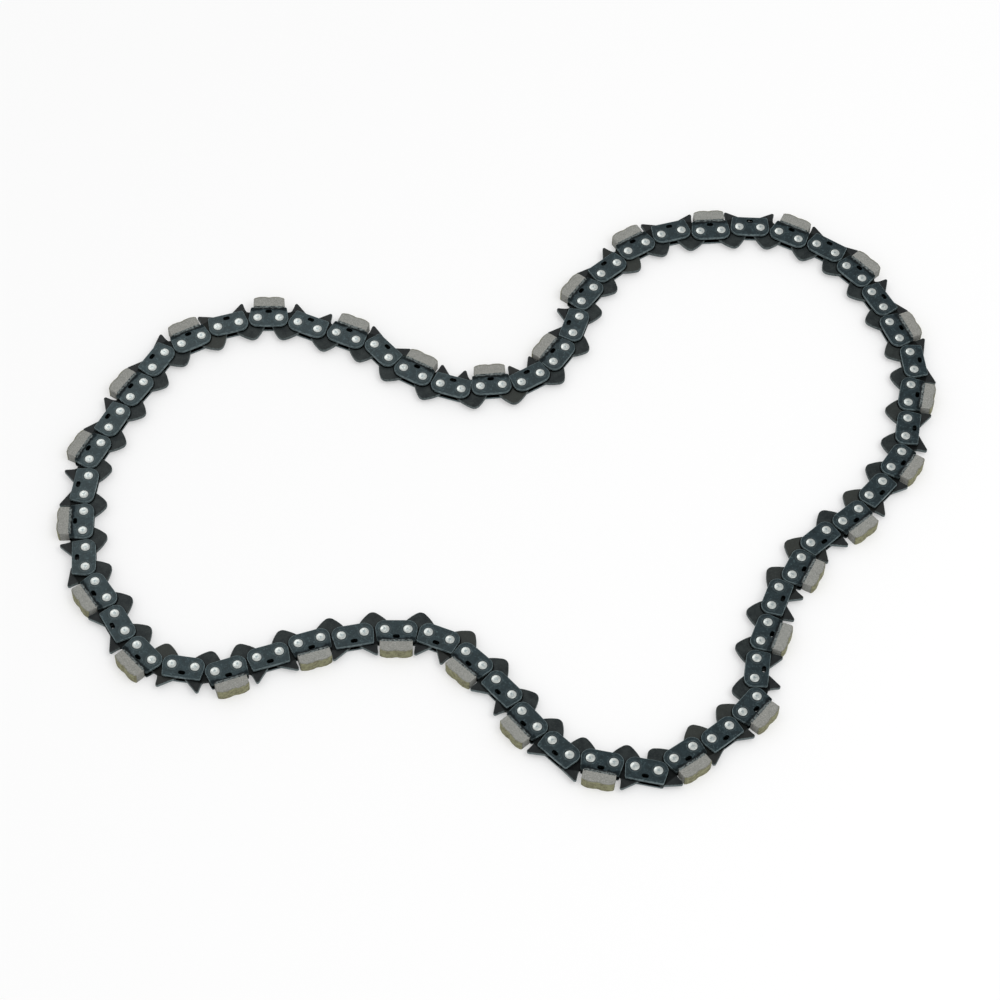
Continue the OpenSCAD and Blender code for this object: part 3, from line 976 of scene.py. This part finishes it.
total = 0
for n, body in enumerate(bodies, 1):
    cutters, straps, drives = [of_kind(body, kind) for kind in ("cutter", "tie strap", "drive link")]
    pins = [{"middle": centre, "heading": HEADING_STEP * i}
            for i, (centre, owner) in enumerate(chain) if owner == body]
    made = [
        (piece(f"side_plates_of_cutters_{n}", body, cutters, plates_mesh, cutter_blue, seed=n),
         "plate_steel", f"cutter_plates_{n}"),
        (piece(f"side_plates_of_tie_straps_{n}", body, straps, plates_mesh, strap_blue, seed=n + 20),
         "plate_steel", f"tie_straps_{n}"),
        (piece(f"segments_{n}", body, cutters, segment_mesh, sintered, seed=n + 40, **SEGMENT_ROUGHNESS),
         "sintered_segment", f"diamond_segments_{n}"),
        (piece(f"weld_beads_{n}", body, cutters, weld_mesh, weld_metal, seed=n, **WELD_ROUGHNESS),
         "plate_steel", None),
        (piece(f"drive_links_with_horns_{n}", body, drives, drive_mesh, charcoal, seed=n + 60),
         "drive_steel", f"drive_links_{n}"),
        (piece(f"spun_rivets_{n}", body, pins, rivet_mesh, bare_steel, seed=n + 80),
         "rivet_steel", f"rivets_{n}"),
    ]
    for dressed, slot, node in made:
        if node:
            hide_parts(node)
        total += sum(len(face.vertices) - 2 for face in dressed.data.polygons)
print("pieces made, with", total, "triangles in all")

# %% [markdown]
# ## Floor, light and background
# The picture has a white ground with soft grey shadows close to the links. A large floor takes
# the shadow. Seen straight on or in a reflection, part of its colour is a plain white glow, so
# it comes out white without more light on the chain.

# %% Floor
WHITE = (1, 1, 1, 1)
FLOOR_PAINT = (0.95, 0.95, 0.95, 1)
GLOW_SHARE = 0.35
FLOOR_HALF = 4.0
FLOOR_Z = -0.02


def floor_finish():
    f = Finish("white_floor")
    ray = f.tree.nodes.new("ShaderNodeLightPath")
    kinds = ("Is Camera Ray", "Is Glossy Ray", "Is Transmission Ray")
    camera_ray, glossy_ray, clear_ray = [Wire(f, ray.outputs[kind]) for kind in kinds]
    seen = camera_ray.maths("ADD", camera_ray + glossy_ray, clear_ray, clamp=True)
    matt = f.add("ShaderNodeBsdfDiffuse", {"Color": FLOOR_PAINT})
    glow = f.add("ShaderNodeEmission", {"Color": WHITE, "Strength": 1.0})
    f.add_output(f.add("ShaderNodeMixShader", {0: seen * GLOW_SHARE, 1: matt, 2: glow}))
    return f.material


floor_mesh = bpy.data.meshes.new("floor")
turns = ((-1, -1), (1, -1), (1, 1), (-1, 1))
floor_corners = [(x * FLOOR_HALF, y * FLOOR_HALF, FLOOR_Z * MM) for x, y in turns]
floor_mesh.from_pydata(floor_corners, [], [(0, 1, 2, 3)])
floor = bpy.data.objects.new("floor", floor_mesh)
floor.data.materials.append(floor_finish())
bpy.context.scene.collection.objects.link(floor)
print("the floor is", 2 * FLOOR_HALF, "m wide")

# %% [markdown]
# The studio is lit evenly from all round, so shadows are soft and stay close. A key softbox on
# the right gives them a slight direction. The flats of the plates mirror a panel behind the chain
# on the left, which makes them lighter there. That panel only shows in reflections, so it
# doesn't add to the light on the floor.

# %% Lamps and world
def lamp(name, place, size, watts):
    data = bpy.data.lights.new(name, "AREA")
    data.shape = "SQUARE"
    data.size = size
    data.energy = watts
    made = bpy.data.objects.new(name, data)
    bpy.context.scene.collection.objects.link(made)
    made.location = place
    made.rotation_mode = "QUATERNION"
    made.rotation_quaternion = Vector(place).to_track_quat("Z", "Y")
    return made


lamp("key_softbox", (0.75, -0.35, 1.55), size=1.0, watts=7)
mirrored_softbox = lamp("mirrored_softbox", (-0.62, 1.25, 1.5), size=1.3, watts=18)
mirrored_softbox.visible_diffuse = False

WORLD_LEVEL = 0.85
world = bpy.data.worlds.new("studio")
bpy.context.scene.world = world
world.use_nodes = True
nodes, wires = world.node_tree.nodes, world.node_tree.links
ray = nodes.new("ShaderNodeLightPath")
strength = nodes.new("ShaderNodeMapRange")
strength.inputs["To Min"].default_value = WORLD_LEVEL
strength.inputs["To Max"].default_value = 1.0
seen = ray.outputs["Is Camera Ray"]
for name in ("Is Glossy Ray", "Is Transmission Ray"):
    either = nodes.new("ShaderNodeMath")
    either.operation = "MAXIMUM"
    wires.new(seen, either.inputs[0])
    wires.new(ray.outputs[name], either.inputs[1])
    seen = either.outputs[0]
wires.new(seen, strength.inputs["Value"])
wires.new(strength.outputs["Result"], nodes["Background"].inputs["Strength"])
nodes["Background"].inputs["Color"].default_value = WHITE
bpy.context.scene.view_settings.view_transform = "Standard"
